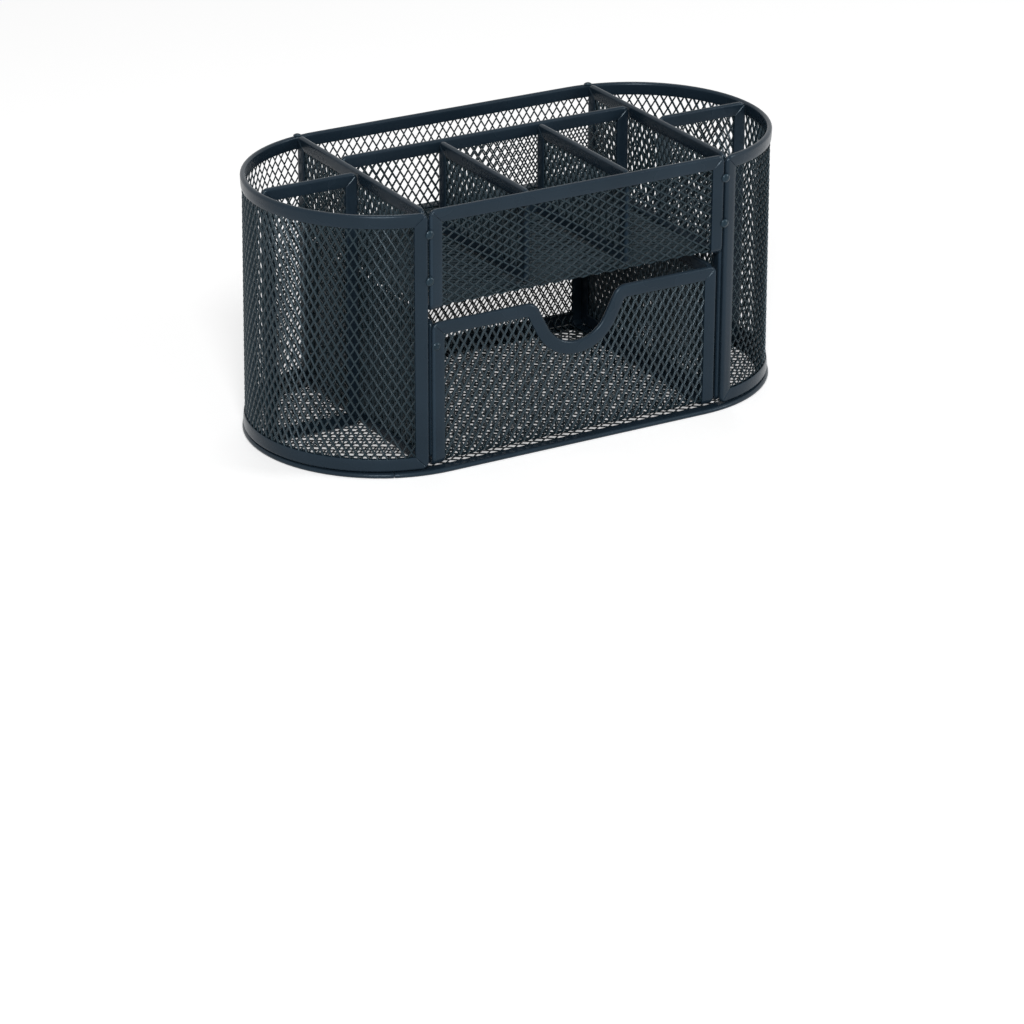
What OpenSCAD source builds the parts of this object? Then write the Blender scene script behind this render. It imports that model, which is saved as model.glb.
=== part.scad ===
// Desk pen stand of expanded metal mesh: a round-ended housing with four pen
// bays at its ends, a divided shelf over the middle and a pull-out drawer below.
// Every panel is a mesh sheet whose edges are held in a folded binding strip.
// Front is -Y, up is +Z, and the origin is under the middle of the floor.

/* [Housing] */
// Length of the outer wall, over its round ends
wall_l = 220; // [200:1:250]
// Depth of the outer wall, which is also the diameter of its round ends
wall_d = 106; // [96:1:120]
// Height of the outer wall's rim above the table
rim_z = 104.3; // [92:0.1:130]
// How far the inner panels stand above the rim
panel_rise = 0.7; // [0:0.1:3]
// Clear width of the middle bay, between the two main dividers
bay_w = 129.2; // [112:0.2:140]
// How far the floor's binding stands out past the wall
floor_lip = 1.4; // [0.5:0.1:4]
// Thickness of the floor's binding
floor_t = 2; // [2:0.1:3]
// Place of the floor binding's end joint, from the middle of the left end's front
floor_joint_a = 23.8; // [5:0.2:60]

/* [Shelf and dividers] */
// Height of the shelf's underside above the table
shelf_z = 65.1; // [50:0.1:75]
// Outer radius of the fold between the front panel and the shelf
shelf_fold_r = 3; // [2.5:0.1:6]
// How far the front panel and the drawer lie behind the wall's end posts
front_set = 0.15; // [0:0.05:2]
// Clear depth of the shelf's front trays
tray_d = 67.5; // [45:0.1:75]
// Clear width of the left front tray
left_tray_w = 42.2; // [25:0.1:50]
// Clear width of the middle front tray
middle_tray_w = 41.8; // [25:0.1:50]
// How far in front of the middle the end bays' dividers stand
end_divider_shift = 0; // [-10:0.1:10]

/* [Drawer] */
// Room between the drawer and the left main divider
drawer_left_play = 1; // [0.5:0.1:4]
// Room between the drawer and the right main divider
drawer_right_play = 2.6; // [0.5:0.1:4]
// Room between the top of the drawer and the shelf
drawer_head_play = 4.6; // [1:0.1:12]
// Room between the back of the drawer and the wall
drawer_back_play = 2.9; // [1:0.1:8]
// Running gap under the drawer, over the floor's binding
drawer_lift = 0.3; // [0.3:0.1:1]
// Outer radius of the drawer's front and back folds
drawer_fold_r = 4; // [3:0.1:7]

/* [Finger dip] */
// Depth of the dip below the drawer's top edge
dip_depth = 18.8; // [16:0.1:26]
// Radius of the bottom of the dip
dip_r = 14; // [9:0.1:16]
// Radius of the strip's inner edge at the dip's shoulders
dip_shoulder_in_r = 0.8; // [0.4:0.1:3]
// Slope of the dip's sides
dip_slope = 63; // [50:1:75]

/* [Binding strip] */
// Width of a binding strip
strip_w = 5.2; // [4:0.1:7]
// Thickness of a binding strip
strip_t = 2.2; // [1.9:0.1:2.6]
// Width of the slot that takes the mesh
slot_w = 1.1; // [1:0.1:1.3]
// Metal left between the slot and the strip's outer edge
slot_floor = 1.1; // [1:0.1:1.5]
// Radius of a panel's corners
corner_r = 2.5; // [1.5:0.1:3]
// Width of the open seam where two strips are mitred, or where a strip's ends meet
seam_w = 0.2; // [0.1:0.05:0.4]
// Gap between pieces that are spot welded together
weld_gap = 0.15; // [0.1:0.05:0.3]
// Diameter of a spot weld's bead
weld_d = 3.4; // [2:0.1:5]
// Height of a spot weld's bead
weld_h = 0.7; // [0.4:0.1:1.2]
// Height of the upper weld on each post
upper_weld_z = 95.8; // [80:0.1:100]
// Height of the lower weld on each post
lower_weld_z = 77.5; // [70:0.1:90]
// Height of the weld on the drawer's left edge
drawer_weld_z = 51; // [20:0.5:55]

/* [Mesh] */
// Thickness of the mesh sheet
sheet_t = 0.8; // [0.6:0.1:0.9]
// Gap between the sheet's edge and the bottom of the slot
sheet_gap = 0.4; // [0.2:0.1:1]
// Long pitch of the diamonds
mesh_long = 15.5; // [12:0.5:24]
// Short pitch of the diamonds
mesh_short = 9; // [8:0.5:14]
// Width of a strand
strand_w = 1.7; // [1:0.1:2]

/* [Hidden] */
$fn = 64;

strip_color = "#36434e";
mesh_color = "#5d6c7a";
weld_color = "#414e59";

// Distance from a panel's outer edge to the sheet inside its slot.
sheet_edge = slot_floor + sheet_gap;
// Pieces of a clipped diamond smaller than this area are left closed.
least_hole = 2;
// How far an arc is drawn past its end before it is trimmed.
over_a = 3;

// Lengths that pieces share are rounded to a micron.
function mm(x) = round(x * 1000) / 1000;

// A turn that pieces share is moved on to the next angle whose sine and cosine
// still make a unit length when they are written with six decimals.
function decimals(x) = round(x * 1000000) / 1000000;
function unit_error(a) = abs(pow(decimals(sin(a)), 2) + pow(decimals(cos(a)), 2) - 1);
function unit_angle(a) = [for (i = [0 : 4000]) if (unit_error(a + i / 2000) < 2e-9) a + i / 2000][0];

// ---- Outer wall ----
wall_r = wall_d / 2;
wall_mid_r = wall_r - strip_t / 2;
wall_in_r = wall_r - strip_t;
wall_cx = wall_l / 2 - wall_r;
wall_z = floor_t + weld_gap;
wall_h = mm(rim_z - wall_z);
panel_top = rim_z + panel_rise;
panel_h = mm(panel_top - wall_z);

// The wall's two ends are flat for one strip's width, at the middle bay's corners.
seam_x = bay_w / 2 + weld_gap;
post_a = unit_angle(max(0,
    asin((seam_x - wall_cx) / norm([wall_mid_r, strip_w])) + atan(strip_w / wall_mid_r)));
post_run = mm(strip_w + max(0, wall_cx - seam_x - strip_w));
post_y = wall_mid_r * cos(post_a) + post_run * sin(post_a);

// ---- Front, shelf and dividers ----
front_y = -mm(post_y + strip_t / 2 * cos(post_a) - front_set);
divider_x = bay_w / 2 + strip_t / 2;
divider_l = mm(2 * (wall_depth_at(divider_x + strip_t / 2, wall_in_r) - weld_gap));
end_divider_x = divider_x + strip_t / 2 + weld_gap;
end_divider_out = end_wall_x(end_divider_shift + strip_t / 2) - weld_gap;
shelf_w = bay_w - 2 * weld_gap;
shelf_top = shelf_z + strip_t;
shelf_back_y = mm(wall_depth_at(shelf_w / 2 - corner_r, wall_mid_r - sheet_t / 2) - weld_gap);
tray_front_y = front_y + strip_t;
long_divider_y = tray_front_y + tray_d + strip_t / 2;
tray_z = shelf_top + weld_gap;
tray_h = mm(panel_top - tray_z);
left_cross_x = -bay_w / 2 + left_tray_w + strip_t / 2;
right_cross_x = left_cross_x + middle_tray_w + strip_t;

// ---- Drawer ----
drawer_x = -bay_w / 2 + drawer_left_play;
drawer_w = bay_w - drawer_left_play - drawer_right_play;
drawer_z = floor_t + drawer_lift;
drawer_h = shelf_z - drawer_head_play - drawer_z;
drawer_back_y = wall_in_r - drawer_back_play;
drawer_l = drawer_back_y - front_y;
drawer_side_l = mm(drawer_l - 2 * strip_t - 2 * weld_gap);
drawer_side_h = mm(drawer_h - strip_t - weld_gap);

// Finger dip: shoulder arc, straight side and bottom arc, all tangent.
dip_shoulder_r = strip_w + dip_shoulder_in_r;
dip_side = mm((dip_depth - (dip_shoulder_r + dip_r) * (1 - cos(dip_slope))) / sin(dip_slope));
dip_half_w = mm((dip_shoulder_r + dip_r) * sin(dip_slope) + dip_side * cos(dip_slope));

// Half the wall's depth at a distance x from the middle, for a wall face of radius r.
function wall_depth_at(x, r) = x <= wall_cx ? r : sqrt(r * r - (x - wall_cx) * (x - wall_cx));
// How far the wall's inner face lies from the middle, at a distance y in front of it.
function end_wall_x(y) = wall_cx + sqrt(wall_in_r * wall_in_r - y * y);

// ---- Paths ----
// A path is a list of steps. It runs along x, with the panel on its +y side and
// the inside of its folds on its +z side.
//   ["run", length]        straight
//   ["corner"]             mitred corner, a quarter turn towards the panel
//   ["left", radius, a]    arc towards the panel, radius at the outer edge
//   ["fold", radius, a]    bend of the panel itself, radius at its middle
module moved(s) {
    if (s[0] == "corner") rotate(90) children();
    else if (s[0] == "left") translate([0, s[1], 0]) rotate(s[2]) translate([0, -s[1], 0]) children();
    else if (s[0] == "fold") translate([0, 0, s[1]]) rotate([0, -s[2], 0])
        translate([0, 0, -s[1]]) children();
    else translate([s[1], 0, 0]) children();
}

// Length of a step of runs and folds, and the place at a length s along such a path.
function step_length(s) = s[0] == "fold" ? s[1] * s[2] * PI / 180 : s[1];
function path_length(path) = [for (s = path) step_length(s)] * [for (s = path) 1];
module at_length(path, s, i = 0) {
    l = step_length(path[i]);
    if (s > l && i < len(path) - 1) moved(path[i]) at_length(path, s - l, i + 1) children();
    else if (path[i][0] == "fold") moved(["fold", path[i][1], s / path[i][1] * 180 / PI]) children();
    else translate([s, 0, 0]) children();
}

// Section of a binding strip: rounded outer edge at x = 0, slot open at x = strip_w.
module channel(t = strip_t) {
    difference() {
        union() {
            translate([t / 2, 0]) circle(d = t);
            translate([t / 2, -t / 2]) square([strip_w - t / 2, t]);
        }
        translate([slot_floor, -slot_w / 2]) square([strip_w, slot_w]);
    }
}

// Section of a mesh sheet that lies in the slots of a panel of width w.
module sheet(w) {
    translate([sheet_edge, -sheet_t / 2]) square([w - 2 * sheet_edge, sheet_t]);
}

// Plan of a straight strip, mitred at the ends that meet a corner.
module run_plan(l, start_mitre, end_mitre) {
    g = mm(seam_w / sqrt(2));
    top = strip_w + 1;
    mitre = [[-1, -1], [slot_floor, slot_floor], [slot_floor + g, slot_floor], [top + g, top]];
    plain = [[0, -1], [0, top]];
    start = start_mitre ? mitre : plain;
    end = end_mitre ? mitre : plain;
    difference() {
        polygon(concat(start, [for (i = [len(end) - 1 : -1 : 0]) [l - end[i].x, end[i].y]]));
        if (start_mitre) corner_waste();
        if (end_mitre) translate([l, 0]) mirror([1, 0]) corner_waste();
    }
}

module corner_waste() {
    difference() {
        translate([-1, -1]) square(corner_r + 1);
        translate([corner_r, corner_r]) circle(r = corner_r);
    }
}

// One step of a path, drawn with the section given as a child. An arc is drawn a
// little long and trimmed where the next step starts.
module path_step(path, i) {
    s = path[i];
    last = len(path) - 1;
    start_mitre = path[i == 0 ? last : i - 1][0] == "corner";
    end_mitre = path[i == last ? 0 : i + 1][0] == "corner";
    if (s[0] == "run" && (start_mitre || end_mitre)) {
        intersection() {
            rotate([90, 0, 90]) linear_extrude(s[1]) children();
            translate([0, 0, -strip_t]) linear_extrude(2 * strip_t) run_plan(s[1], start_mitre, end_mitre);
        }
    } else if (s[0] == "run") {
        rotate([90, 0, 90]) linear_extrude(s[1]) children();
    } else if (s[0] == "left") {
        trimmed(s, strip_w + 2) translate([0, s[1], 0]) rotate(-90) rotate_extrude(angle = s[2] + over_a)
            translate([s[1], 0]) mirror([1, 0]) children();
    } else if (s[0] == "fold") {
        trimmed(s, 2 * rim_z) translate([0, 0, s[1]]) rotate([90, 90, 0])
            rotate_extrude(angle = s[2] + over_a) translate([s[1], 0]) mirror([1, 1]) children();
    }
}

// Trims a step whose section is narrower than w to where the next step starts.
module trimmed(s, w) {
    block = [2 * strip_w, w, 2 * strip_t];
    difference() {
        children();
        moved(s) translate([0, -1, -strip_t]) cube(block);
    }
}

module sweep(path, i = 0) {
    if (i < len(path)) {
        path_step(path, i) children();
        moved(path[i]) sweep(path, i + 1) children();
    }
}

// ---- Diamonds ----
// The part of a polygon on the side of a line where n * point is at most limit.
function clip(p, n, limit) = len(p) < 3 ? [] : [
    for (i = [0 : len(p) - 1])
        let (a = p[i], b = p[(i + 1) % len(p)], da = n * a - limit, db = n * b - limit)
        each concat(da * db < 0 ? [a + (b - a) * da / (da - db)] : [], db <= 0 ? [b] : [])
];
function area(p) = len(p) < 3 ? 0
    : [for (i = [0 : len(p) - 1]) cross(p[i], p[(i + 1) % len(p)]) / 2] * [for (q = p) 1];
function clip_box(p, lo, hi) =
    clip(clip(clip(clip(p, [1, 0], hi.x), [-1, 0], -lo.x), [0, 1], hi.y), [0, -1], -lo.y);

// The opening of one diamond of the given pitch, drawn in by half a strand.
function diamond(c, pitch) =
    let (k = 1 - strand_w * norm(pitch) / (pitch.x * pitch.y), d = pitch / 2 * k)
    [c + [d.x, 0], c + [0, d.y], c - [d.x, 0], c - [0, d.y]];
// Centres of the staggered diamonds that reach a window.
function centres(lo, hi, pitch) =
    let (mid = (lo + hi) / 2, n = [ceil((hi.x - lo.x) / pitch.x), ceil((hi.y - lo.y) / pitch.y)])
    [for (i = [-n.x : n.x], j = [-n.y : n.y]) if ((i + j) % 2 == 0) mid + [i * pitch.x, j * pitch.y] / 2];
function holes(lo, hi, pitch) = [
    for (c = centres(lo, hi, pitch))
        let (p = clip_box(diamond(c, pitch), lo, hi))
        if (area(p) > least_hole) p
];
upright = [mesh_short, mesh_long];
level = [mesh_long, mesh_short];

module cut_holes(list) {
    difference() {
        children();
        for (p = list) polygon(p);
    }
}

// ---- Flat panels, drawn in the xy plane with a corner at the origin ----
function frame_path(w, h) = [for (l = [w, h, w, h], s = [["run", l], ["corner"]]) s];

module panel_binding(w, h) {
    sweep(frame_path(w, h)) channel();
}

module panel_mesh(w, h, pitch = upright) {
    translate([0, 0, -sheet_t / 2]) linear_extrude(sheet_t)
        cut_holes(holes([strip_w, strip_w], [w - strip_w, h - strip_w], pitch))
            translate([sheet_edge, sheet_edge]) square([w - 2 * sheet_edge, h - 2 * sheet_edge]);
}

// Stand a flat panel up along y, or along x.
module stand_along_y(x, y, z) {
    translate([x, y, z]) rotate([90, 0, 90]) children();
}
module stand_along_x(x, y, z) {
    translate([x, y, z]) rotate([90, 0, 0]) children();
}

// ---- Floor ----
floor_r = wall_r + floor_lip;

// The strip starts and ends at its joint.
module floor_binding() {
    seam_a = seam_w / floor_r * 180 / PI;
    joint_a = unit_angle(floor_joint_a);
    path = [
        ["left", floor_r, joint_a], ["run", 2 * wall_cx], ["left", floor_r, 180],
        ["run", 2 * wall_cx], ["left", floor_r, 180 - joint_a - seam_a]
    ];
    color(strip_color) translate([-wall_cx, 0, floor_t / 2]) rotate(-joint_a)
        translate([0, -floor_r, 0]) sweep(path) channel(floor_t);
}

module stadium(r) {
    square([2 * wall_cx, 2 * r], center = true);
    for (side = [-1, 1]) translate([side * wall_cx, 0]) circle(r = r);
}

// A diamond near a round end is clipped by the tangent there.
function clip_end(p, c, r) =
    let (e = [abs(c.x) - wall_cx, c.y], n = [sign(c.x) * e.x, e.y] / norm(e))
    e.x <= 0 ? p : clip(p, n, r + n.x * sign(c.x) * wall_cx);

module floor_mesh() {
    r = floor_r - strip_w;
    hi = [wall_cx + r, r];
    list = [
        for (c = centres(-hi, hi, level))
            let (p = clip_end(clip_box(diamond(c, level), -hi, hi), c, r))
            if (area(p) > least_hole) p
    ];
    color(mesh_color) translate([0, 0, (floor_t - sheet_t) / 2]) linear_extrude(sheet_t)
        cut_holes(list) stadium(floor_r - sheet_edge);
}

// ---- Outer wall ----
wall_fold = ["fold", wall_mid_r, 180 - post_a];

// The strip starts and ends behind the middle of the back.
module outer_wall_binding() {
    end = ["run", post_run];
    post = [["corner"], ["run", wall_h], ["corner"]];
    path = concat(
        [["run", wall_cx], wall_fold, end], post,
        [end, wall_fold, ["run", 2 * wall_cx], wall_fold, end], post,
        [end, wall_fold, ["run", wall_cx - seam_w]]
    );
    color(strip_color) translate([0, wall_mid_r, wall_z]) rotate([90, 0, 0]) sweep(path) channel();
}

module outer_wall_mesh() {
    end = ["run", post_run - sheet_edge];
    path = [end, wall_fold, ["run", 2 * wall_cx], wall_fold, end];
    inset = strip_w - sheet_edge;
    lo = [inset, strip_w];
    hi = [path_length(path) - inset, wall_h - strip_w];
    x = wall_cx - post_run * cos(post_a) + wall_mid_r * sin(post_a);
    color(mesh_color) translate([-x, -post_y, wall_z]) rotate([90, 0, 180 - post_a])
        translate([sheet_edge, 0, 0]) difference() {
            sweep(path) sheet(wall_h);
            for (c = centres(lo, hi, upright)) {
                p = clip_box(diamond(c, upright), lo, hi);
                if (area(p) > least_hole)
                    at_length(path, c.x) translate([-c.x, 0, -sheet_t]) linear_extrude(2 * sheet_t) polygon(p);
            }
        }
}

// ---- Main dividers ----
module main_divider(side, mesh) {
    stand_along_y(side * divider_x, -divider_l / 2, wall_z) {
        if (mesh) panel_mesh(divider_l, panel_h);
        else panel_binding(divider_l, panel_h);
    }
}

module left_divider_binding() { color(strip_color) main_divider(-1, false); }
module left_divider_mesh() { color(mesh_color) main_divider(-1, true); }
module right_divider_binding() { color(strip_color) main_divider(1, false); }
module right_divider_mesh() { color(mesh_color) main_divider(1, true); }

// ---- End dividers ----
module end_divider(side, mesh) {
    w = mm(end_divider_out - end_divider_x);
    x = side < 0 ? -end_divider_out : end_divider_x;
    stand_along_x(x, -end_divider_shift, wall_z) {
        if (mesh) panel_mesh(w, panel_h);
        else panel_binding(w, panel_h);
    }
}

module left_end_divider_binding() { color(strip_color) end_divider(-1, false); }
module left_end_divider_mesh() { color(mesh_color) end_divider(-1, true); }
module right_end_divider_binding() { color(strip_color) end_divider(1, false); }
module right_end_divider_mesh() { color(mesh_color) end_divider(1, true); }

// ---- Shelf with its folded-up front panel ----
shelf_fold = shelf_fold_r - strip_t / 2;
shelf_run = mm(shelf_back_y - front_y - shelf_fold_r);
front_run = mm(panel_top - shelf_z - shelf_fold_r);

// The strip starts and ends at the middle of the shelf's back edge.
module shelf_binding() {
    half = shelf_w / 2;
    side = [["run", shelf_run], ["fold", shelf_fold, 90], ["run", front_run], ["corner"]];
    back_side = [["run", front_run], ["fold", shelf_fold, 90], ["run", shelf_run], ["corner"]];
    path = concat([["run", half], ["corner"]], side, [["run", shelf_w], ["corner"]], back_side,
        [["run", half - seam_w]]);
    color(strip_color) translate([0, shelf_back_y, shelf_z + strip_t / 2]) rotate(180) sweep(path) channel();
}

// Some steps of a sheet of width w that is folded across: flat plates with diamonds,
// joined by plain folds. Its first and last plates end inside the slots of the strips there.
module folded_mesh(w, path, pitch, steps, i = 0) {
    last = len(path) - 1;
    drawn = len([for (s = steps) if (s == i) s]) > 0;
    if (drawn && path[i][0] == "fold") {
        path_step(path, i) sheet(w);
    } else if (drawn) {
        from = i == 0 ? sheet_edge : 0;
        to = path[i][1] - (i == last ? sheet_edge : 0);
        lo = [i == 0 ? strip_w : 0, strip_w];
        hi = [path[i][1] - (i == last ? strip_w : 0), w - strip_w];
        translate([0, 0, -sheet_t / 2]) linear_extrude(sheet_t)
            cut_holes(holes(lo, hi, pitch))
                translate([from, sheet_edge]) square([to - from, w - 2 * sheet_edge]);
    }
    if (i < last) moved(path[i]) folded_mesh(w, path, pitch, steps, i + 1);
}

module shelf_sheet(steps) {
    path = [["run", shelf_run], ["fold", shelf_fold, 90], ["run", front_run]];
    color(mesh_color) translate([-shelf_w / 2, shelf_back_y, shelf_z + strip_t / 2]) rotate(-90)
        folded_mesh(shelf_w, path, upright, steps);
}

module shelf_mesh() { shelf_sheet([0]); }
module front_panel_mesh() { shelf_sheet([1, 2]); }

// ---- Dividers on the shelf ----
module long_divider(mesh) {
    stand_along_x(-shelf_w / 2, long_divider_y, tray_z) {
        if (mesh) panel_mesh(shelf_w, tray_h);
        else panel_binding(shelf_w, tray_h);
    }
}

module long_divider_binding() { color(strip_color) long_divider(false); }
module long_divider_mesh() { color(mesh_color) long_divider(true); }

module cross_divider(x, mesh) {
    l = tray_d - 2 * weld_gap;
    stand_along_y(x, tray_front_y + weld_gap, tray_z) {
        if (mesh) panel_mesh(l, tray_h);
        else panel_binding(l, tray_h);
    }
}

module left_cross_divider_binding() { color(strip_color) cross_divider(left_cross_x, false); }
module left_cross_divider_mesh() { color(mesh_color) cross_divider(left_cross_x, true); }
module right_cross_divider_binding() { color(strip_color) cross_divider(right_cross_x, false); }
module right_cross_divider_mesh() { color(mesh_color) cross_divider(right_cross_x, true); }

// ---- Spot welds ----
// A bead on the xy plane: a cap of a ball.
module bead() {
    r = (weld_d * weld_d / 4 + weld_h * weld_h) / (2 * weld_h);
    intersection() {
        translate([0, 0, weld_h - r]) sphere(r = r);
        cylinder(h = weld_h, d = weld_d);
    }
}

module housing_welds() {
    face_y = -(post_y + strip_t / 2) - weld_gap;
    color(weld_color) {
        for (side = [-1, 1], z = [lower_weld_z, upper_weld_z])
            translate([side * seam_x, face_y, z]) rotate([90, 0, 0]) bead();
        for (side = [-1, 1])
            translate([side * divider_x, wall_depth_at(divider_x, wall_mid_r), rim_z + weld_gap / 2]) bead();
    }
}

// ---- Drawer ----
drawer_fold = drawer_fold_r - strip_t / 2;
drawer_wall_run = mm(drawer_h - drawer_fold_r);
drawer_floor_run = mm(drawer_l - 2 * drawer_fold_r);

// The dip in the drawer's front, seen from the front with its top edge at y = 0,
// and with its outline grown into the panel.
module dip_region(grow) {
    r = dip_r + grow;
    shoulder_r = dip_shoulder_r - grow;
    slope = [sin(dip_slope), -cos(dip_slope)];
    bottom = [0, dip_r - dip_depth] + r * slope;
    shoulder = [dip_half_w, -dip_shoulder_r];
    half = [bottom, shoulder - shoulder_r * slope, [dip_half_w, -grow], [dip_half_w, 1]];
    difference() {
        union() {
            translate([0, dip_r - dip_depth]) circle(r = r);
            polygon(concat(half, [for (i = [3 : -1 : 0]) [-half[i].x, half[i].y]]));
        }
        for (side = [-1, 1]) translate([side * shoulder.x, shoulder.y]) circle(r = shoulder_r);
    }
}

// The strip that follows the dip, built up in layers of the channel's section.
module dip_strip() {
    round_t = strip_t / 8;
    flange_t = (strip_t - slot_w) / 2;
    dip_layer(0, slot_floor, -slot_w / 2, slot_w);
    for (side = [0, 1]) mirror([0, 0, side]) {
        dip_layer(0, strip_w, slot_w / 2, flange_t - round_t);
        dip_layer(round_t, strip_w, strip_t / 2 - round_t, round_t);
    }
}

module dip_layer(from, to, z, t) {
    below = dip_depth + to + 1;
    translate([0, 0, z]) linear_extrude(t) difference() {
        intersection() {
            dip_region(to);
            translate([-dip_half_w, -below - from]) square([2 * dip_half_w, below]);
        }
        dip_region(from);
    }
}

// Half of the strip, from its seam at the middle of the back's top edge to the dip.
module drawer_half_strip() {
    half = drawer_w / 2;
    path = [
        ["run", half - seam_w / 2], ["corner"],
        ["run", drawer_wall_run], ["fold", drawer_fold, 90], ["run", drawer_floor_run],
        ["fold", drawer_fold, 90], ["run", drawer_wall_run], ["corner"],
        ["run", mm(half - dip_half_w)]
    ];
    translate([-seam_w / 2, drawer_back_y - strip_t / 2, drawer_z + drawer_h]) rotate([90, 180, 0])
        sweep(path) channel();
}

module drawer_binding() {
    color(strip_color) translate([drawer_x + drawer_w / 2, 0, 0]) {
        for (side = [0, 1]) mirror([side, 0, 0]) drawer_half_strip();
        translate([0, front_y + strip_t / 2, drawer_z + drawer_h]) rotate([90, 0, 0]) dip_strip();
    }
}

module drawer_sheet(steps) {
    wall = ["run", drawer_wall_run];
    fold = ["fold", drawer_fold, 90];
    translate([drawer_x, drawer_back_y - strip_t / 2, drawer_z + drawer_h]) rotate([90, 90, 0])
        folded_mesh(drawer_w, [wall, fold, ["run", drawer_floor_run], fold, wall], level, steps);
}

module drawer_back_mesh() { color(mesh_color) drawer_sheet([0, 1]); }
module drawer_floor_mesh() { color(mesh_color) drawer_sheet([2]); }
module drawer_front_mesh() {
    color(mesh_color) difference() {
        drawer_sheet([3, 4]);
        translate([drawer_x + drawer_w / 2, front_y + strip_t, drawer_z + drawer_h]) rotate([90, 0, 0])
            linear_extrude(strip_t) dip_region(sheet_edge);
    }
}

module drawer_side(side, mesh) {
    x = side < 0 ? drawer_x + strip_t / 2 : drawer_x + drawer_w - strip_t / 2;
    stand_along_y(x, front_y + strip_t + weld_gap, drawer_z + strip_t + weld_gap) {
        if (mesh) panel_mesh(drawer_side_l, drawer_side_h);
        else panel_binding(drawer_side_l, drawer_side_h);
    }
}

module drawer_left_side_binding() { color(strip_color) drawer_side(-1, false); }
module drawer_left_side_mesh() { color(mesh_color) drawer_side(-1, true); }
module drawer_right_side_binding() { color(strip_color) drawer_side(1, false); }
module drawer_right_side_mesh() { color(mesh_color) drawer_side(1, true); }

module drawer_welds() {
    color(weld_color) {
        translate([drawer_x + weld_d / 2, front_y, drawer_weld_z]) rotate([90, 0, 0]) bead();
    }
}

floor_binding();
floor_mesh();
outer_wall_binding();
outer_wall_mesh();
left_divider_binding();
left_divider_mesh();
right_divider_binding();
right_divider_mesh();
left_end_divider_binding();
left_end_divider_mesh();
right_end_divider_binding();
right_end_divider_mesh();
shelf_binding();
shelf_mesh();
front_panel_mesh();
long_divider_binding();
long_divider_mesh();
left_cross_divider_binding();
left_cross_divider_mesh();
right_cross_divider_binding();
right_cross_divider_mesh();
housing_welds();
drawer_binding();
drawer_floor_mesh();
drawer_front_mesh();
drawer_back_mesh();
drawer_left_side_binding();
drawer_left_side_mesh();
drawer_right_side_binding();
drawer_right_side_mesh();
drawer_welds();
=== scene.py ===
import math

import bpy
import numpy as np
from mathutils import Matrix, Vector


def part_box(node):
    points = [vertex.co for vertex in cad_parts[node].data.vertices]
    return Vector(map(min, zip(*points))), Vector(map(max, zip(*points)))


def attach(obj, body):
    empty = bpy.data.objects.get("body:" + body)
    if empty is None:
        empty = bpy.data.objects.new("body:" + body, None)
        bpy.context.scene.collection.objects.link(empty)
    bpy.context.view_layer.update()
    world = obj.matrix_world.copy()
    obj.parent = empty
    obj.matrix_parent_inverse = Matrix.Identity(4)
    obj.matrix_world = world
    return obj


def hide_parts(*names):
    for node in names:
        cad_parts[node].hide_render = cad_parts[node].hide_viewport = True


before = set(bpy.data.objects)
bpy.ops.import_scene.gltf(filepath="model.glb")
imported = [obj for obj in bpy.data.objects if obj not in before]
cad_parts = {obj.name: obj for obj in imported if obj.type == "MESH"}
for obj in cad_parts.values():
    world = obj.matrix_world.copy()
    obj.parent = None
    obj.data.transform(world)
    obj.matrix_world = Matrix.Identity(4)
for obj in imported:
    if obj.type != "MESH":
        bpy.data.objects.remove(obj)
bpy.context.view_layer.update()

MM = 0.001

# ---- Sizes of the object, in millimetres and degrees ----
STRIP_W = 5.2
STRIP_T = 2.2
CORNER_R = 2.5
POST_A = 14.642
WALL_R = 53.0
FLOOR_R = 54.4
FLOOR_JOINT_A = 23.8
SHELF_FOLD_R = 3.0
DRAWER_FOLD_R = 4.0
DIP_DEPTH = 18.8
DIP_R = 14.0
DIP_SHOULDER_R = 6.0
DIP_SLOPE = 63.0
# How far the wall's round ends lean out at the floor, which the CAD leaves upright.
WALL_LEAN = 1.1

# Section of one flange of a strip, from its slot round the lip to the rounded edge,
# as (distance from the edge, height over the middle), and the steps of that edge.
FLANGE = [(1.5, 0.48), (5.1, 0.50), (5.2, 0.62), (5.14, 0.78), (4.9, 0.88), (3.4, 1.0), (1.9, 1.08)]
NOSE_STEPS = 6

# Grooves where strips meet, at a mitre and at a butt joint: half the open gap, how far
# the outer edge drops there, what is left of the height, and where the full section starts.
MITRE_GAP, MITRE_DROP, MITRE_PINCH, MITRE_BEVEL = 0.072, 0.032, 0.84, 0.352
JOINT_GAP, JOINT_DROP, JOINT_PINCH, JOINT_BEVEL = 0.07, 0.08, 0.86, 0.4
# Room along the strip in which a mitre's slanted stations turn square.
MITRE_SPREAD = 0.6
CORNER_STEPS = 5

# Expanded metal: pitch along and across the slits, width of a strand, thickness, height
# that a strand is twisted by, and the distance from a panel's edge to its sheet.
LONG = 6.0
SHORT = 3.5
STRAND = 0.62
SHEET_T = 0.44
TWIST = 0.3
MESH_MARGIN = 1.5

# ---- Looks ----
# The camera was fitted to the photo. Its place is along its own right, up and back, in mm.
CAMERA_AZIMUTH, CAMERA_ELEVATION, CAMERA_ROLL = -30.236, 23.774, 0.212
CAMERA_PLACE = (0.942, -45.541, 1594.24)
CAMERA_LENS = 141.91
CAMERA_SENSOR = 36

# Metres, and strengths where 1 is white.
GROUND_HALF = 3.0
GROUND_WHITE = 0.9
GROUND_GLOW = 0.4
WORLD_LIGHT = 0.22
LAMP_SIZE = 0.6
LAMP_TARGET = (0, 0, 0.05)
LAMPS = (
    ("key", 24, (-0.8, -1.4, 1.1)),
    ("fill", 10, (1.4, -1.1, 0.8)),
    ("top", 5, (0.3, 0.6, 1.7)),
)


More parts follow.
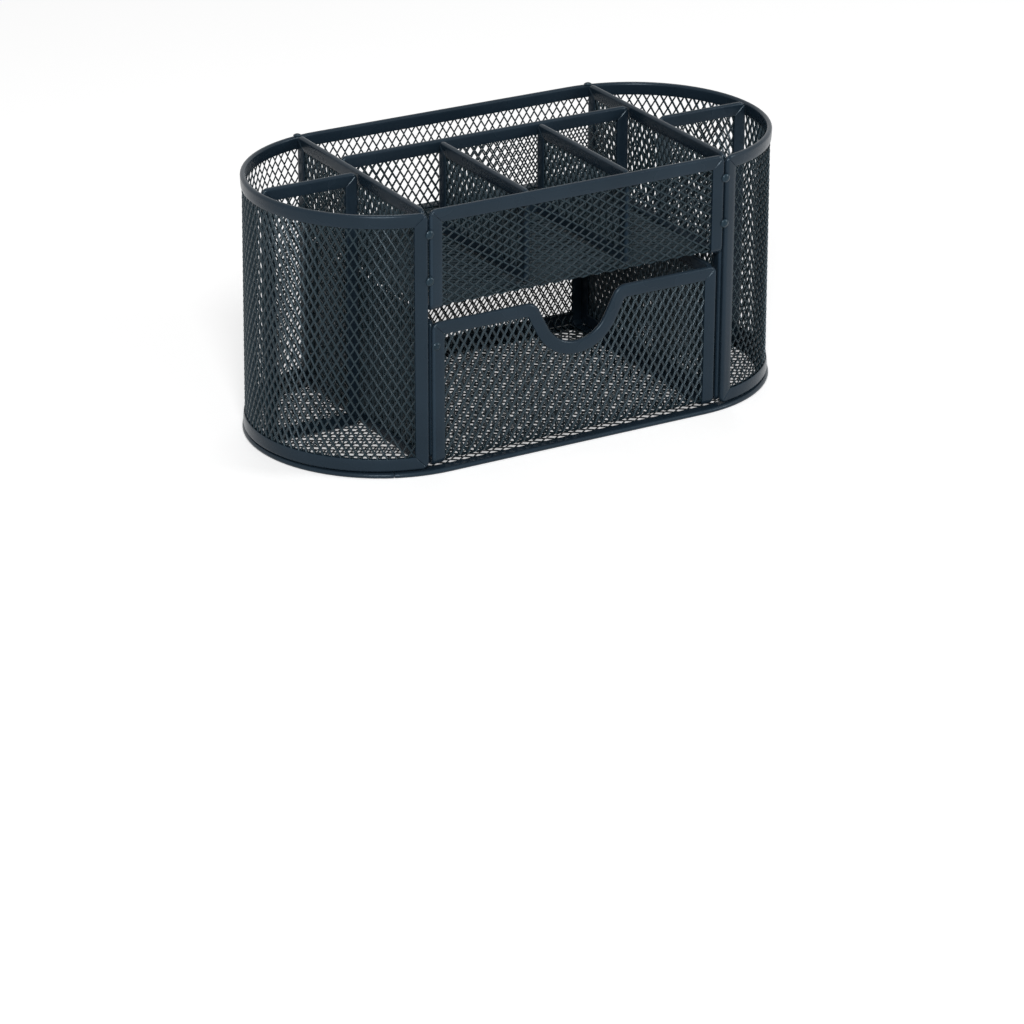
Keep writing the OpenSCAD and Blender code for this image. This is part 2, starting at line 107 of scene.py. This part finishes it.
def mm_box(node):
    lo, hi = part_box(node)
    return np.array(lo) / MM, np.array(hi) / MM


# ---- Camera ----
def make_camera():
    azimuth, elevation, roll = (
        math.radians(a) for a in (CAMERA_AZIMUTH, CAMERA_ELEVATION, CAMERA_ROLL))
    ca, sa, ce, se = math.cos(azimuth), math.sin(azimuth), math.cos(elevation), math.sin(elevation)
    back = Vector((sa * ce, -ca * ce, se))
    level = Vector((ca, sa, 0))
    upright = back.cross(level)
    right = level * math.cos(roll) + upright * math.sin(roll)
    up = upright * math.cos(roll) - level * math.sin(roll)
    place = (right * CAMERA_PLACE[0] + up * CAMERA_PLACE[1] + back * CAMERA_PLACE[2]) * MM
    data = bpy.data.cameras.new("camera")
    data.lens = CAMERA_LENS
    data.sensor_width = CAMERA_SENSOR
    data.clip_end = 20
    camera = bpy.data.objects.new("camera", data)
    bpy.context.scene.collection.objects.link(camera)
    camera.matrix_world = Matrix.Translation(place) @ Matrix((right, up, back)).transposed().to_4x4()
    bpy.context.scene.camera = camera


make_camera()


# ---- Panels, flat and bent ----
def ends_and_middle(lo, hi):
    return [lo, (lo + hi) / 2, hi]


class Bend:
    """A line of runs and folds in a plane, with the inside of the folds on its +n side."""

    def __init__(self, start, heading, turn, steps):
        self.turn = turn
        self.parts = []
        u, p, a = 0.0, np.array(start, float), math.radians(heading)
        for step in steps:
            r = step[1] if step[0] == "fold" else 0.0
            length = r * math.radians(step[2]) if r else step[1]
            self.parts.append((u, length, p, a, r))
            if r:
                centre = p + r * self.normal(a)
                a += turn * length / r
                p = centre - r * self.normal(a)
            else:
                p = p + length * np.array([math.cos(a), math.sin(a)])
            u += length
        self.length = u

    def normal(self, a):
        return self.turn * np.array([-math.sin(a), math.cos(a)])

    def at(self, u, n):
        for start, length, p, a, r in self.parts:
            if u <= start + length + 1e-9:
                break
        s = u - start
        if r:
            return p + r * self.normal(a) - (r - n) * self.normal(a + self.turn * s / r)
        return p + s * np.array([math.cos(a), math.sin(a)]) + n * self.normal(a)

    def marks(self, lo, hi):
        """Stations from lo to hi that follow the folds: every 4 degrees of a wide one, or 12."""
        out = [lo, hi]
        for start, length, _, _, r in self.parts:
            n = max(1, math.ceil(math.degrees(length / r) / (4 if r > 20 else 12))) if r else 1
            out += [start + length * i / n for i in range(n + 1)]
        return sorted({round(u, 6) for u in out if lo <= u <= hi})


class Panel:
    """A rectangle of width w (u) and height h (v), and where each (u, v, n) of it lies."""

    def __init__(self, name, w, h, place, marks=ends_and_middle):
        self.name, self.w, self.h, self.place, self.marks = name, w, h, place, marks


def flat_panel(name):
    lo, hi = mm_box(name + "_binding")
    size = hi - lo
    if size[0] < size[1]:
        x = (lo[0] + hi[0]) / 2
        return Panel(name, size[1], size[2], lambda u, v, n: (x + n, lo[1] + u, lo[2] + v))
    y = (lo[1] + hi[1]) / 2
    return Panel(name, size[0], size[2], lambda u, v, n: (lo[0] + u, y - n, lo[2] + v))


# ---- Binding strips ----
def half_profile():
    """Section of a strip from the bottom of its slot round its lip to its rounded edge."""
    r = STRIP_T / 2
    turns = np.linspace(0, math.pi / 2, NOSE_STEPS)
    return FLANGE + [(r - r * math.sin(t), r * math.cos(t)) for t in turns]


HALF = half_profile()
PROFILE = np.array(HALF + [(d, -h) for d, h in HALF[-2::-1]])


def cap_faces():
    """Faces that close the C-shaped section: three on each flange and one round the edge."""
    last = len(PROFILE) - 1
    top = [(0, i, i + 1, i + 2) for i in (1, 3, 5)]
    nose = list(range(len(FLANGE), len(HALF)))
    web = [0] + nose + [last - i for i in reversed(nose[:-1])] + [last]
    low = [tuple(last - i for i in reversed(face)) for face in top]
    return [tuple(reversed(face)) for face in top + [tuple(web)] + low]


CAP = cap_faces()


# A station is the (along, across, height) of each profile point, as three arrays.
def straight_station(s):
    d, h = PROFILE.T
    return np.full(len(d), s), d, h


def corner_stations():
    """From the mitre to the straight part of a run."""
    d, h = PROFILE.T
    rounded = d < CORNER_R
    r = np.maximum(CORNER_R - d, 0)
    out = []
    for degrees in np.linspace(45, 0, CORNER_STEPS):
        t = math.radians(degrees)
        square = d + MITRE_SPREAD * (1 - math.sin(t) * math.sqrt(2))
        s = np.where(rounded, CORNER_R - r * math.sin(t), square)
        e = np.where(rounded, CORNER_R - r * math.cos(t), d)
        if not out:
            out.append((s + MITRE_GAP, e + MITRE_DROP, h * MITRE_PINCH))
        out.append((s + MITRE_BEVEL, e, h))
    return out


def joint_stations(s):
    """The grooved end of a strip that goes on from s."""
    d, h = PROFILE.T
    return [(np.full(len(d), s + JOINT_GAP), d + JOINT_DROP, h * JOINT_PINCH),
            straight_station(s + JOINT_BEVEL)]


def mirrored(stations, length):
    return [(length - s, e, h) for s, e, h in reversed(stations)]


def run_pieces(length, marks, middle=None, joint=None):
    """The stations of one side of a panel, in two pieces if it has a joint.
    middle replaces the straight part."""
    edge = STRIP_W + MITRE_SPREAD + MITRE_BEVEL + 0.1
    pieces = [corner_stations()]
    for station in middle or [straight_station(s) for s in marks(edge, length - edge)]:
        if joint and len(pieces) == 1 and station[0][0] > joint:
            pieces[0] += mirrored(joint_stations(length - joint), length)
            pieces.append(joint_stations(joint))
        pieces[-1].append(station)
    pieces[-1] += mirrored(corner_stations(), length)
    return pieces


class Builder:
    """Gathers vertices and faces, in millimetres, for one object."""

    def __init__(self):
        self.verts, self.faces = [], []

    def strip(self, stations, place):
        """A strip through the stations; place(s, e, h) puts a profile point in space."""
        base, n = len(self.verts), len(PROFILE)
        for station in stations:
            self.verts += [place(*point) for point in zip(*station)]
        last = base + (len(stations) - 1) * n
        for a in range(base, last, n):
            b = a + n
            self.faces += [(a + j, a + (j + 1) % n, b + (j + 1) % n, b + j) for j in range(n)]
        for start, order in ((base, 1), (last, -1)):
            self.faces += [tuple(start + i for i in face)[::order] for face in CAP]

    def object(self, name, smooth_angle=None):
        mesh = bpy.data.meshes.new(name)
        mesh.from_pydata([tuple(np.array(v) * MM) for v in self.verts], [], self.faces)
        mesh.validate()
        mesh.update()
        if smooth_angle:
            mesh.polygons.foreach_set("use_smooth", [True] * len(mesh.polygons))
            mesh.set_sharp_from_angle(angle=math.radians(smooth_angle))
        obj = bpy.data.objects.new(name, mesh)
        bpy.context.scene.collection.objects.link(obj)
        return obj


def add_sides(builder, panel, dip, left_joint):
    """The four mitred sides of a panel's binding."""
    w, h = panel.w, panel.h

    def top_marks(lo, hi):
        return sorted(w - u for u in panel.marks(w - hi, w - lo))

    sides = (
        (w, lambda s, e: (s, e), panel.marks, None, None),
        (h, lambda s, e: (w - e, s), ends_and_middle, dip, None),
        (w, lambda s, e: (w - s, h - e), top_marks, None, None),
        (h, lambda s, e: (e, h - s), ends_and_middle, None, left_joint),
    )
    for length, to_panel, marks, middle, joint in sides:
        for stations in run_pieces(length, marks, middle, joint):
            builder.strip(stations, lambda s, e, n: panel.place(*to_panel(s, e), n))


# ---- Expanded metal ----
def lattice(builder, size, long_axis, place, origin, keep=None, fit=None):
    """Staggered diamonds over size (u, v), slits along long_axis (0 for u, 1 for v).
    keep(u, v) says if a diamond stays, fit(u, v) moves a corner, place(u, v, n) puts it in space."""
    pitch = [LONG, SHORT] if long_axis == 0 else [SHORT, LONG]
    count = [max(2, round(size[i] / pitch[i] * 2)) for i in (0, 1)]
    step = [size[i] / count[i] for i in (0, 1)]
    opening = 1 - STRAND * math.hypot(*pitch) / (pitch[0] * pitch[1])
    half = SHEET_T / 2
    around = [(1, 0), (0, 1), (-1, 0), (0, -1)]
    index, edges = {}, {}

    def add(u, v, lift):
        if fit:
            u, v = fit(u, v)
        builder.verts.extend([place(u, v, lift + half), place(u, v, lift - half)])
        return len(builder.verts) - 2

    def corner(i, j):
        if (i, j) not in index:
            index[i, j] = add(origin[0] + i * step[0], origin[1] + j * step[1], 0)
        return index[i, j]

    for i in range(1, count[0]):
        for j in range(1, count[1]):
            u, v = origin[0] + i * step[0], origin[1] + j * step[1]
            if (i + j) % 2 or (keep and not keep(u, v)):
                continue
            outer = [corner(i + a, j + b) for a, b in around]
            inner = [add(u + a * step[0] * opening, v + b * step[1] * opening,
                         TWIST * (b if long_axis == 0 else a)) for a, b in around]
            for q in range(4):
                a, b = outer[q], outer[(q + 1) % 4]
                c, d = inner[(q + 1) % 4], inner[q]
                builder.faces += [(a, b, c, d), (a + 1, d + 1, c + 1, b + 1), (d, c, c + 1, d + 1)]
                pair = (min(a, b), max(a, b))
                edges[pair] = None if pair in edges else (a, b)
    # The sheet's outline: the edges that only one diamond has.
    builder.faces += [(a, a + 1, b + 1, b) for a, b in (e for e in edges.values() if e)]


# ---- Materials ----
def painted(name, base, tint, roughness, gloss, bump):
    """Satin powder coat: two close tones, uneven gloss, a fine orange peel, and edges painted paler as a
    highlight.
    """
    mat = bpy.data.materials.new(name)
    mat.use_nodes = True
    nodes, links = mat.node_tree.nodes, mat.node_tree.links
    shader = nodes["Principled BSDF"]
    place = nodes.new("ShaderNodeTexCoord")

    def noise(scale, detail):
        n = nodes.new("ShaderNodeTexNoise")
        n.inputs["Scale"].default_value = scale
        n.inputs["Detail"].default_value = detail
        links.new(place.outputs["Object"], n.inputs["Vector"])
        return n.outputs["Fac"]

    def ramp(source, lo, hi, low, high):
        n = nodes.new("ShaderNodeMapRange")
        n.inputs["From Min"].default_value = lo
        n.inputs["From Max"].default_value = hi
        n.inputs["To Min"].default_value = low
        n.inputs["To Max"].default_value = high
        links.new(source, n.inputs["Value"])
        return n.outputs["Result"]

    def mixed(factor, a, b):
        n = nodes.new("ShaderNodeMix")
        n.data_type = "RGBA"
        links.new(factor, n.inputs["Factor"])
        for socket, value in ((n.inputs[6], a), (n.inputs[7], b)):
            if isinstance(value, tuple):
                socket.default_value = (*value, 1)
            else:
                links.new(value, socket)
        return n.outputs[2]

    cloud = noise(45, 3)
    grain = noise(1400, 2)
    geometry = nodes.new("ShaderNodeNewGeometry")
    tone = mixed(ramp(cloud, 0.35, 0.65, 0, 1), base, tint)
    # Painted highlight: sharp edges are painted paler, standing in for the light that catches the
    # rounded edges.
    edge_highlight = ramp(geometry.outputs["Pointiness"], 0.52, 0.62, 0, 0.35)
    highlight_colour = tuple(min(1, c * 2.1) for c in tint)
    links.new(mixed(edge_highlight, tone, highlight_colour), shader.inputs["Base Color"])
    links.new(ramp(cloud, 0.3, 0.7, roughness - 0.015, roughness + 0.02), shader.inputs["Roughness"])
    shader.inputs["Metallic"].default_value = 0.0
    shader.inputs["Specular IOR Level"].default_value = gloss
    shader.inputs["Specular Tint"].default_value = (0.72, 0.88, 1.0, 1)
    peel = nodes.new("ShaderNodeBump")
    peel.inputs["Strength"].default_value = bump
    peel.inputs["Distance"].default_value = 0.00012
    links.new(grain, peel.inputs["Height"])
    links.new(peel.outputs["Normal"], shader.inputs["Normal"])
    return mat


strip_paint = painted("strip_paint", (0.0100, 0.0190, 0.0292), (0.0126, 0.0232, 0.0352), 0.27, 0.2, 0.35)
# The mesh's paint is darker than the strips' as painted shade, standing in for the shade inside the
# basket.
mesh_paint = painted("mesh_paint", (0.0072, 0.0150, 0.0200), (0.0100, 0.0200, 0.0262), 0.26, 0.38, 0.25)
weld_paint = painted("weld_paint", (0.0086, 0.0190, 0.0280), (0.0120, 0.0245, 0.0345), 0.25, 0.2, 0.5)


# ---- Pieces ----
def dressed(obj, nodes, body, material):
    obj.data.materials.append(material)
    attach(obj, body)
    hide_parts(*nodes)


def strip_piece(builder, name, node, body):
    dressed(builder.object(name, smooth_angle=32), [node], body, strip_paint)


def sheet_piece(builder, name, nodes, body):
    dressed(builder.object(name), nodes, body, mesh_paint)


def binding(panel, body, dip=None, left_joint=None):
    builder = Builder()
    add_sides(builder, panel, dip, left_joint)
    strip_piece(builder, panel.name + "_strips", panel.name + "_binding", body)


def mesh_sheet(panel, body, long_axis=1, nodes=None, keep=None, fit=None):
    builder = Builder()
    size = (panel.w - 2 * MESH_MARGIN, panel.h - 2 * MESH_MARGIN)
    lattice(builder, size, long_axis, panel.place, (MESH_MARGIN, MESH_MARGIN), keep, fit)
    sheet_piece(builder, panel.name + "_sheet", nodes or [panel.name + "_mesh"], body)


# ---- Flat panels ----
HOUSING_PANELS = ("left_divider", "right_divider", "left_end_divider", "right_end_divider",
                  "long_divider", "left_cross_divider", "right_cross_divider")
DRAWER_PANELS = ("drawer_left_side", "drawer_right_side")
for body, names in (("housing", HOUSING_PANELS), ("drawer", DRAWER_PANELS)):
    for name in names:
        flat = flat_panel(name)
        binding(flat, body)
        mesh_sheet(flat, body)

# ---- Outer wall ----
wall_lo, wall_hi = mm_box("outer_wall_binding")
wall_h = wall_hi[2] - wall_lo[2]
wall_cx = wall_hi[0] - WALL_R
wall_mid = WALL_R - STRIP_T / 2
post_sin, post_cos = math.sin(math.radians(POST_A)), math.cos(math.radians(POST_A))
wall_post = ("run", STRIP_W)
wall_end = ("fold", wall_mid, 180 - POST_A)
wall_bend = Bend(
    (STRIP_W * post_cos - wall_mid * post_sin - wall_cx, -(wall_mid * post_cos + STRIP_W * post_sin)),
    180 - POST_A, -1, [wall_post, wall_end, ("run", 2 * wall_cx), wall_end, wall_post])
round_ends = [(start, length) for start, length, _, _, r in wall_bend.parts if r]


def wall_place(u, v, n):
    """The round ends lean out a little towards the floor, most at their middle."""
    lean = sum(math.sin(math.pi * min(max((u - start) / length, 0), 1)) for start, length in round_ends)
    x, y = wall_bend.at(u, n - WALL_LEAN * lean * (1 - v / wall_h))
    return x, y, wall_lo[2] + v


wall = Panel("outer_wall", wall_bend.length, wall_h, wall_place, wall_bend.marks)
binding(wall, "housing")
mesh_sheet(wall, "housing")


# ---- Shelf and drawer, each bent round folds that run along x ----
def bent_panel(name, bend, x_lo, x_hi):
    def place(u, v, n):
        y, z = bend.at(u, n)
        return x_lo + v, y, z

    return Panel(name, bend.length, x_hi - x_lo, place, bend.marks)


shelf_lo, shelf_hi = mm_box("shelf_binding")
shelf_bend = Bend((shelf_hi[1], shelf_lo[2] + STRIP_T / 2), 180, -1, [
    ("run", shelf_hi[1] - shelf_lo[1] - SHELF_FOLD_R),
    ("fold", SHELF_FOLD_R - STRIP_T / 2, 90),
    ("run", shelf_hi[2] - shelf_lo[2] - SHELF_FOLD_R)])
shelf = bent_panel("shelf", shelf_bend, shelf_lo[0], shelf_hi[0])
binding(shelf, "housing")
mesh_sheet(shelf, "housing", nodes=["shelf_mesh", "front_panel_mesh"])

drawer_lo, drawer_hi = mm_box("drawer_binding")
drawer_w = drawer_hi[0] - drawer_lo[0]
drawer_wall = ("run", drawer_hi[2] - drawer_lo[2] - DRAWER_FOLD_R)
drawer_fold = ("fold", DRAWER_FOLD_R - STRIP_T / 2, 90)
drawer_bend = Bend((drawer_hi[1] - STRIP_T / 2, drawer_hi[2]), -90, -1, [
    drawer_wall, drawer_fold, ("run", drawer_hi[1] - drawer_lo[1] - 2 * DRAWER_FOLD_R),
    drawer_fold, drawer_wall])

# ---- Finger dip ----
DIP_SHOULDER_STEPS = 8
DIP_BOTTOM_STEPS = 19
DIP_LINE_STEPS = 400
# Where the front's top strip starts and ends, and how far it stays straight before the dip.
DIP_STRIP_END = 9.5
DIP_STRIP_STRAIGHT = 3.0
# How far round the dip the sheet is fitted to it, sideways and below.
DIP_REACH = (2.0, 6.0)
FAR_INSIDE = 99.0

slope = math.radians(DIP_SLOPE)
dip_side = (DIP_DEPTH - (DIP_SHOULDER_R + DIP_R) * (1 - math.cos(slope))) / math.sin(slope)
dip_half_w = (DIP_SHOULDER_R + DIP_R) * math.sin(slope) + dip_side * math.cos(slope)


def dip_outline():
    """(x, depth) of the drawer's front edge round the dip, and the normal into the panel."""
    out = []
    for t in np.linspace(0, slope, DIP_SHOULDER_STEPS):
        sin, cos = math.sin(t), math.cos(t)
        out.append((-dip_half_w + DIP_SHOULDER_R * sin, DIP_SHOULDER_R * (1 - cos), -sin, cos))
    shoulder = [(-x, y, -nx, ny) for x, y, nx, ny in reversed(out)]
    for t in np.linspace(-slope, slope, DIP_BOTTOM_STEPS):
        sin, cos = math.sin(t), math.cos(t)
        out.append((DIP_R * sin, DIP_DEPTH - DIP_R + DIP_R * cos, sin, cos))
    return np.array(out + shoulder)


DIP = dip_outline()
dip_steps = np.linspace(0, len(DIP) - 1, DIP_LINE_STEPS)
dip_fine = np.array([np.interp(dip_steps, range(len(DIP)), DIP[:, i]) for i in range(4)]).T


def dip_run():
    """Stations of the front's top strip, straight, round the dip and straight again."""
    d, h = PROFILE.T
    middle, straight = drawer_w / 2, dip_half_w + DIP_STRIP_STRAIGHT
    out = [straight_station(s) for s in (DIP_STRIP_END, middle - straight)]
    out += [(middle + x + nx * d, y + ny * d, h) for x, y, nx, ny in DIP]
    out += [straight_station(s) for s in (middle + straight, drawer_w - DIP_STRIP_END)]
    return out


def dip_gap(u, v):
    """How far a point of the drawer's front lies inside its edge near the dip, with the
    nearest point of the edge and its normal."""
    p = np.array([v - drawer_w / 2, drawer_bend.length - u])
    if abs(p[0]) > dip_half_w + DIP_REACH[0] or p[1] > DIP_DEPTH + DIP_REACH[1]:
        return FAR_INSIDE, None, None
    i = np.argmin(((dip_fine[:, :2] - p) ** 2).sum(1))
    edge, normal = dip_fine[i, :2], dip_fine[i, 2:]
    return float((p - edge) @ normal), edge, normal


def dip_keep(u, v):
    return dip_gap(u, v)[0] > MESH_MARGIN


def dip_fit(u, v):
    gap, edge, normal = dip_gap(u, v)
    if gap < MESH_MARGIN:
        x, y = edge + normal * MESH_MARGIN
        return drawer_bend.length - y, x + drawer_w / 2
    return u, v


drawer = bent_panel("drawer", drawer_bend, drawer_lo[0], drawer_hi[0])
binding(drawer, "drawer", dip_run(), left_joint=drawer_w / 2)
mesh_sheet(drawer, "drawer", 0, ["drawer_floor_mesh", "drawer_front_mesh", "drawer_back_mesh"],
           dip_keep, dip_fit)

# ---- Floor ----
# A diamond nearer to the sheet's round end than this is left out.
FLOOR_EDGE = 0.8

floor_lo, floor_hi = mm_box("floor_binding")
floor_z = (floor_lo[2] + floor_hi[2]) / 2
floor_scale = (floor_hi[2] - floor_lo[2]) / STRIP_T
sheet_r = FLOOR_R - MESH_MARGIN


def floor_ring():
    joint_a = math.radians(FLOOR_JOINT_A)
    side = ("run", 2 * wall_cx)
    bend = Bend(
        (-wall_cx - FLOOR_R * math.sin(joint_a), -FLOOR_R * math.cos(joint_a)), -FLOOR_JOINT_A, 1,
        [("fold", FLOOR_R, FLOOR_JOINT_A), side, ("fold", FLOOR_R, 180),
         side, ("fold", FLOOR_R, 180 - FLOOR_JOINT_A)])
    stations = joint_stations(0)
    stations += [straight_station(s) for s in bend.marks(2, bend.length - 2)]
    stations += mirrored(joint_stations(0), bend.length)
    builder = Builder()
    builder.strip(stations, lambda s, e, h: (*bend.at(s, e), floor_z + h * floor_scale))
    strip_piece(builder, "floor_strip", "floor_binding", "housing")


def end_vector(x, y):
    """From the middle line of the floor to a point, and its length."""
    v = np.array([x - max(-wall_cx, min(wall_cx, x)), y])
    return v, float(np.hypot(*v))


def floor_keep(x, y):
    return end_vector(x, y)[1] < sheet_r - FLOOR_EDGE


def floor_fit(x, y):
    v, far = end_vector(x, y)
    if far > sheet_r:
        x, y = np.array([x, y]) - v + v * sheet_r / far
    return x, y


def floor_sheet():
    builder = Builder()
    half = np.array([wall_cx + FLOOR_R, FLOOR_R]) - MESH_MARGIN
    lattice(builder, 2 * half, 0, lambda x, y, n: (x, y, floor_z + n), -half, floor_keep, floor_fit)
    sheet_piece(builder, "floor_sheet", ["floor_mesh"], "housing")


floor_ring()
floor_sheet()

# ---- Welds, kept from the CAD ----
for name in ("housing_welds", "drawer_welds"):
    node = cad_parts[name]
    node.data.materials.clear()
    node.data.materials.append(weld_paint)


# ---- Ground, world and lamps ----
def seen_rays(nodes, links):
    """1 where the camera, a reflection or glass looks, else 0."""
    path = nodes.new("ShaderNodeLightPath")
    total = path.outputs["Is Camera Ray"]
    for ray in ("Is Glossy Ray", "Is Transmission Ray"):
        add = nodes.new("ShaderNodeMath")
        add.operation = "MAXIMUM"
        links.new(total, add.inputs[0])
        links.new(path.outputs[ray], add.inputs[1])
        total = add.outputs[0]
    return total


def make_ground():
    """A white floor that keeps the object's shadow and glows only where it is seen."""
    mat = bpy.data.materials.new("ground_white")
    mat.use_nodes = True
    nodes, links = mat.node_tree.nodes, mat.node_tree.links
    nodes.remove(nodes["Principled BSDF"])
    diffuse = nodes.new("ShaderNodeBsdfDiffuse")
    diffuse.inputs["Color"].default_value = (GROUND_WHITE, GROUND_WHITE, GROUND_WHITE, 1)
    glow = nodes.new("ShaderNodeEmission")
    amount = nodes.new("ShaderNodeMath")
    amount.operation = "MULTIPLY"
    amount.inputs[1].default_value = GROUND_GLOW
    links.new(seen_rays(nodes, links), amount.inputs[0])
    links.new(amount.outputs[0], glow.inputs["Strength"])
    total = nodes.new("ShaderNodeAddShader")
    links.new(diffuse.outputs[0], total.inputs[0])
    links.new(glow.outputs[0], total.inputs[1])
    links.new(total.outputs[0], nodes["Material Output"].inputs["Surface"])
    mesh = bpy.data.meshes.new("ground")
    h = GROUND_HALF
    mesh.from_pydata([(-h, -h, 0), (h, -h, 0), (h, h, 0), (-h, h, 0)], [], [(0, 1, 2, 3)])
    mesh.materials.append(mat)
    ground = bpy.data.objects.new("ground", mesh)
    bpy.context.scene.collection.objects.link(ground)


def make_world():
    world = bpy.data.worlds.new("studio")
    world.use_nodes = True
    bpy.context.scene.world = world
    nodes, links = world.node_tree.nodes, world.node_tree.links
    back = nodes["Background"]
    back.inputs["Color"].default_value = (1, 1, 1, 1)
    strength = nodes.new("ShaderNodeMapRange")
    strength.inputs["To Min"].default_value = WORLD_LIGHT
    strength.inputs["To Max"].default_value = 1.0
    links.new(seen_rays(nodes, links), strength.inputs["Value"])
    links.new(strength.outputs["Result"], back.inputs["Strength"])


def make_lamp(name, power, place):
    data = bpy.data.lights.new(name, "AREA")
    data.shape = "DISK"
    data.size = LAMP_SIZE
    data.energy = power
    lamp = bpy.data.objects.new(name, data)
    bpy.context.scene.collection.objects.link(lamp)
    lamp.location = place
    lamp.rotation_euler = (Vector(LAMP_TARGET) - Vector(place)).to_track_quat("-Z", "Y").to_euler()


make_ground()
make_world()
for lamp_values in LAMPS:
    make_lamp(*lamp_values)

bpy.context.scene.view_settings.view_transform = "Standard"
